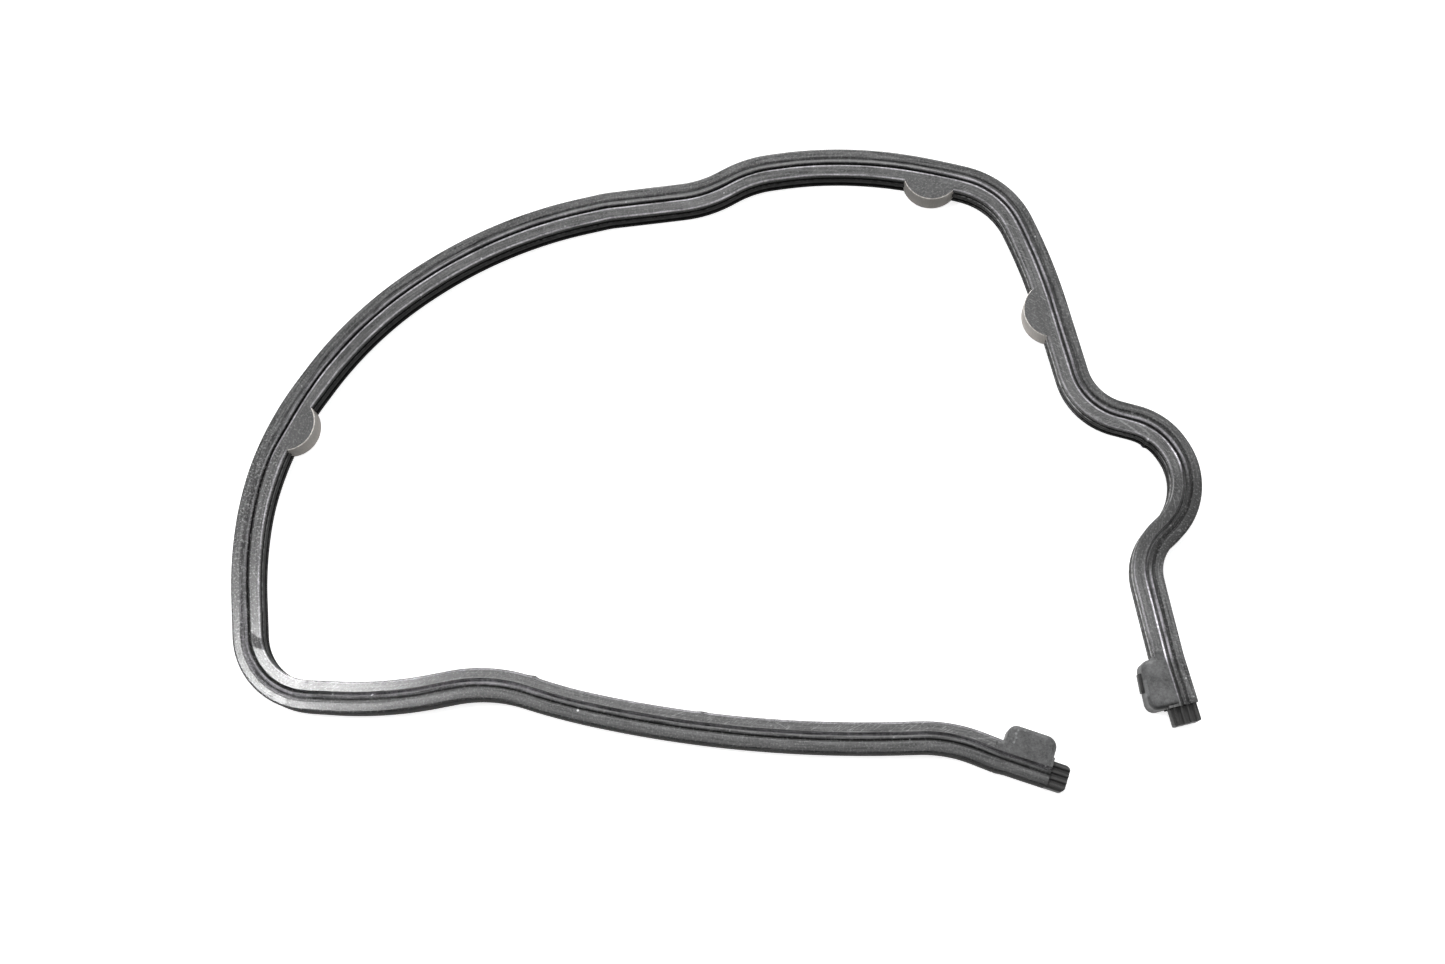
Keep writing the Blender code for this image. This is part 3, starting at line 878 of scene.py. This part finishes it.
def land_finish():
    """The strip's top and back: worn lands with painted highlight on their rims, a rubbed bead with painted
    highlight, and grooves with painted shade.
    """
    rubber = Rubber("worn_lands", Specular_IOR_Level=0.5, Coat_Roughness=0.18)
    along, across = rubber.along, rubber.across
    streaks, blotches, grain, scuffs = rubber.streaks(), rubber.blotches(), rubber.grain(), rubber.scuffs()
    outer_half = rubber.ramp(across, OUTER_HALF_FADE[0], OUTER_HALF_FADE[1], 1.0, 0.0)
    # Painted shade on the outer land's outer half, which also shines less there
    dulled_and_shaded = 1 - outer_half * (1 - rubber.by_way(OUTER_TONES))
    inner = rubber.ramp(across, INNER_LAND_START + 0.1 * MM, INNER_LAND_START + 0.3 * MM)
    outside = rubber.ramp(across, OUTER_LAND_END, 0.0, 1.0, 0.0)
    coarse = rubber.ramp(across, OUTER_LAND_END, OUTER_FLOOR[1], 1.0, 0.3)
    speckled = rubber.by_way(SPECKLED)
    stains = rubber.spots(STAINS)
    tone = land_tones(rubber, dulled_and_shaded)
    lilac = rubber.ramp(tone, 0.11, 0.2, 0.0, 0.045)
    nibbled = rubber.noise(rubber.vector(along, across * 0.2), 0.8 * MM, rough=0.7)
    tone = tone * (1 + rubber.ramp(tone, 0.12, 0.2) * (nibbled - 0.5) * 2.4)
    wear = 1 + (streaks - 0.5) * 3.4 + (blotches - 0.5) * 0.6 + (scuffs - 0.5) \
        + (grain - 0.5) * coarse * (1.4 + speckled * 3.0)
    marks = rubber.spots(DUST) + rubber.scratches(across, SCRATCHES)
    tone = (tone * wear).math("MAXIMUM", DARKEST_LAND) * (1 - stains) \
        + rubber.scrapes() * inner * 0.15 + marks + rubber.specks() * speckled * 0.25
    rubber.set(Base_Color=rubber.grey(tone, -0.005, lilac))
    give_worn_surface(rubber, streaks, blotches, grain)
    patch = rubber.band(along + across * PATCH_SLANT, PATCH[0], PATCH[1], 0.12 * MM) * inner
    flat = rubber.ramp(across, INNER_LAND_START, INNER_LAND_START + 0.2 * MM) \
        + rubber.ramp(across, OUTER_LAND_END - 0.1 * MM, OUTER_LAND_END, 1.0, 0.0)
    flat = flat * dulled_and_shaded * (1 + outside * (rubber.by_way(OUTER_SHINE) * 2 - 1)) \
        * (1 + inner * (rubber.by_way(INNER_SHINE) * 2 - 1))
    shine = flat * (1.15 - (grain - 0.4) * 3.2 * coarse - (scuffs - 0.45) * 1.5)
    shine = shine * (1 - patch) * (1 - stains)
    rubber.set(Coat_Weight=shine.math("MAXIMUM", 0.0, clamp=True))
    return rubber.material


def ear_top_finish():
    """The ears' tops, like the inner land."""
    rubber = Rubber("ear_top", Specular_IOR_Level=0.5, Coat_Roughness=0.18)
    streaks, blotches, grain, scuffs = rubber.streaks(), rubber.blotches(), rubber.grain(), rubber.scuffs()
    wear = 1 + (streaks - 0.5) + (blotches - 0.5) * 0.6 + (grain - 0.5) * 0.69 + (scuffs - 0.5)
    tone = (rubber.by_way(TONES_ALONG) * 0.077 * wear).math("MAXIMUM", DARKEST_LAND)
    rubber.set(Base_Color=rubber.grey(tone + rubber.scrapes() * 0.15 + rubber.specks() * 0.075, -0.005))
    give_worn_surface(rubber, streaks, blotches, grain)
    shine = (1.15 - (grain - 0.4) * 0.96 - (scuffs - 0.45) * 1.5) * 0.8
    rubber.set(Coat_Weight=shine.math("MAXIMUM", 0.0, clamp=True))
    return rubber.material


def rim_finish():
    """The ears' rims, rubbed pale, with painted highlight where the rounded rims catch the light."""
    rubber = Rubber("rubbed_and_highlit_rim", Specular_IOR_Level=0.5)
    worn = rubber.noise(rubber.place(), 0.8 * MM)
    rubber.set(Base_Color=rubber.grey(0.42 + (worn - 0.3).math("MAXIMUM", 0.0) * 2.4, 0.05))
    rubber.set(Roughness=0.4 + (rubber.grain() - 0.5) * 0.3)
    return rubber.material


def inner_wall_finish():
    """The dark inner wall, rough, darker towards the bottom, with painted light on the right side of the
    loop, painted highlight along its lips' edges and painted shade in its channels.
    """
    rubber = Rubber("inner_wall", Specular_IOR_Level=0.08)
    along, up = rubber.along, rubber.up
    streaks, grain = rubber.streaks(), rubber.grain()
    # The wall's paler stretches are painted light
    tone = rubber.by_way(WALL_TONES) * rubber.ramp(up, 0.3 * MM, TOP, 0.35, 1.5)
    # Painted highlight lines along the lips' edges
    lines = sum(rubber.band(up, line - WALL_LINE_HALF, line + WALL_LINE_HALF, WALL_LINE_HALF / 2)
                for line in WALL_LINES)
    beads = rubber.noise(rubber.vector(along, up * 0.3), 0.9 * MM, detail=1.0)
    # Painted shade: the channels darker, the lips and the middle rib paler
    ribs = rubber.ramp(rubber.across, HALF_WIDTH - 0.3 * MM, HALF_WIDTH - 0.1 * MM, 0.35, 1.5)
    rough = 0.4 + (streaks - 0.5) * 1.5 + (grain - 0.5) * 2
    tone = tone * ribs * (rough + lines * (1.0 + (beads - 0.3) * 7))
    hook = rubber.scratches(up, WALL_HOOK)
    rubber.set(Base_Color=rubber.grey(tone.math("MAXIMUM", DARKEST_WALL) + hook))
    rubber.set(Roughness=0.6 + (rubber.blotches() - 0.5) * 0.3)
    rubber.set(Normal=rubber.bumps(streaks * 0.5 + grain * 0.5, 0.08 * MM, 0.7))
    return rubber.material


def outer_wall_finish():
    """The outer wall, a dull brownish grey."""
    rubber = Rubber("outer_wall", Specular_IOR_Level=0.05)
    streaks, blotches = rubber.streaks(), rubber.blotches()
    rubber.set(Base_Color=rubber.grey(0.006 + streaks * 0.02 + (blotches - 0.5) * 0.01, 0.06))
    rubber.set(Roughness=0.6 + (blotches - 0.5) * 0.2)
    rubber.set(Normal=rubber.bumps(streaks, 0.05 * MM, 0.4))
    return rubber.material


def ear_side_finish():
    """The ears' sides: pale where the rubber was cut, with grain up and down, and the third ear's sides
    paler still with painted light.
    """
    rubber = Rubber("ear_side", Specular_IOR_Level=0.2)
    upright = rubber.noise(rubber.vector(rubber.along, rubber.across, rubber.up * 0.12), 0.25 * MM)
    mottled = 0.75 + upright * 0.5 + (rubber.blotches() - 0.5) * 0.3
    # The third ear's paler sides are painted light
    tone = rubber.by_way(EAR_SIDE_TONES) * mottled * rubber.ramp(rubber.up, 0.0, 4.0 * MM, 1.2, 0.95)
    rubber.set(Base_Color=rubber.grey(tone, 0.06))
    rubber.set(Roughness=0.65 + (rubber.grain() - 0.5) * 0.3)
    rubber.set(Normal=rubber.bumps(upright, 0.05 * MM, 0.4))
    return rubber.material


def block_finish():
    """The end blocks: cloudy satin rubber with painted highlight on their rounded edges, and painted shade
    down their sides and on end B's end face.
    """
    rubber = Rubber("block", Specular_IOR_Level=0.45)
    grain = rubber.grain()
    clouds = rubber.noise(rubber.vector(rubber.along, rubber.across), 2.2 * MM, detail=2.0)
    tone = 0.11 * (1 + (rubber.blotches() - 0.5) * 0.9 + (clouds - 0.5) + (grain - 0.5) * 1.8)
    # Painted highlight on the blocks' rounded edges and sloping tops
    tone = tone + rubber.spots(BLOCK_MARKS) + rubber.scratches(rubber.across, BLOCK_EDGES)
    # Painted shade down the blocks' sides
    tone = tone * rubber.ramp(rubber.up, 1.0 * MM, TOP - 0.9 * MM, 0.2, 1.0)
    # Painted shade on end B's end face
    tone = tone * rubber.ramp(rubber.along, BLOCK_FACE_FADE[0], BLOCK_FACE_FADE[1], 1.0, 0.12)
    rubber.set(Base_Color=rubber.grey(tone, -0.01))
    rubber.set(Roughness=0.5 + (grain - 0.5) * 0.3)
    rubber.set(Normal=rubber.bumps(grain, 0.03 * MM, 0.3))
    return rubber.material


def tongue_finish():
    """The ribbed tongues and the flash, dark rubber with a little painted shade between the ribs."""
    rubber = Rubber("tongue", Specular_IOR_Level=0.3)
    grain = rubber.grain()
    rib_foot = TOP / 2 + TONGUE_THICKNESS / 2
    rib = rubber.ramp(rubber.up, rib_foot, rib_foot + RIB_HEIGHT)
    # The ribs' tops a little paler: painted shade between them
    tone = 0.05 + rib * 0.005 + (rubber.blotches() - 0.5) * 0.04 + (rubber.streaks() - 0.5) * 0.03
    rubber.set(Base_Color=rubber.grey(tone, 0.01))
    rubber.set(Roughness=0.55 + (grain - 0.5) * 0.3)
    rubber.set(Normal=rubber.bumps(grain, 0.03 * MM, 0.3))
    return rubber.material


# In the order of the faces' numbers, from LAND to TONGUE
FINISHES = (land_finish, ear_top_finish, rim_finish, inner_wall_finish, outer_wall_finish, ear_side_finish,
            block_finish, tongue_finish)

gasket = build_gasket()
for make in FINISHES:
    gasket.data.materials.append(make())
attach(gasket, "root")
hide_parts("gasket")


# Table, light and camera

def table():
    """A table that glows a little to the camera, so that it looks plain white and still takes shadows."""
    bm = bmesh.new()
    bmesh.ops.create_grid(bm, x_segments=1, y_segments=1, size=TABLETOP_HALF)
    mesh = bpy.data.meshes.new("table")
    bm.to_mesh(mesh)
    bm.free()
    thing = bpy.data.objects.new("table", mesh)
    bpy.context.scene.collection.objects.link(thing)
    paint = Finish("white_table", Roughness=1.0, Specular_IOR_Level=0.0)
    paint.set(Base_Color=(0.8, 0.8, 0.8, 1))
    painted = Value(paint, paint.shader.outputs[0])
    seen = paint.node("ShaderNodeLightPath", output="Is Camera Ray")
    glossy = paint.node("ShaderNodeLightPath", output="Is Glossy Ray")
    through = paint.node("ShaderNodeLightPath", output="Is Transmission Ray")
    glow = paint.node("ShaderNodeEmission", sockets={"Color": (1, 1, 1, 1), "Strength": 0.8})
    both = paint.node("ShaderNodeAddShader", sockets={0: glow, 1: painted})
    lit = (seen + glossy + through).math("MINIMUM", 1.0)
    mixed = paint.node("ShaderNodeMixShader", sockets={0: lit, 1: painted, 2: both})
    paint.tree.links.new(mixed.socket, paint.tree.nodes["Material Output"].inputs["Surface"])
    mesh.materials.append(paint.material)


def lamp(name, spot, aim, size, power, spread=1.0, gloss=1.0):
    """A square soft lamp; spread and gloss are how much it lights up and how much it glints."""
    light = bpy.data.lights.new(name, "AREA")
    light.shape = "SQUARE"
    light.size = size
    light.energy = power
    light.diffuse_factor = spread
    light.specular_factor = gloss
    thing = bpy.data.objects.new(name, light)
    thing.location = spot
    thing.rotation_euler = (Vector(aim) - Vector(spot)).to_track_quat("-Z", "Y").to_euler()
    bpy.context.scene.collection.objects.link(thing)


def studio():
    table()
    lamp("back", (0.0, 2.2, 1.4), (0, 0, 0), 1.4, 62, gloss=0.15)
    lamp("above", (0.1, 0.3, 2.0), (0, 0, 0), 1.0, 5)
    lamp("left", (-1.5, 0.1, 0.8), (0, 0, 0), 0.8, 3)
    lamp("right", (1.5, 0.0, 0.7), (0, 0, 0), 0.8, 6)
    lamp("glare", (-0.457, 0.078, 1.2), (-0.09, -0.04, 0), 0.13, 2.75, spread=0.0)
    world = bpy.data.worlds.new("studio")
    world.use_nodes = True
    world.node_tree.nodes["Background"].inputs["Color"].default_value = (1, 1, 1, 1)
    world.node_tree.nodes["Background"].inputs["Strength"].default_value = 0.12
    bpy.context.scene.world = world
    camera = bpy.data.cameras.new("camera")
    camera.sensor_width = SENSOR
    camera.lens = LENS
    thing = bpy.data.objects.new("camera", camera)
    thing.location = CAMERA_PLACE
    thing.rotation_euler = CAMERA_TURN
    bpy.context.scene.collection.objects.link(thing)
    bpy.context.scene.camera = thing
    bpy.context.scene.view_settings.view_transform = "Standard"


studio()
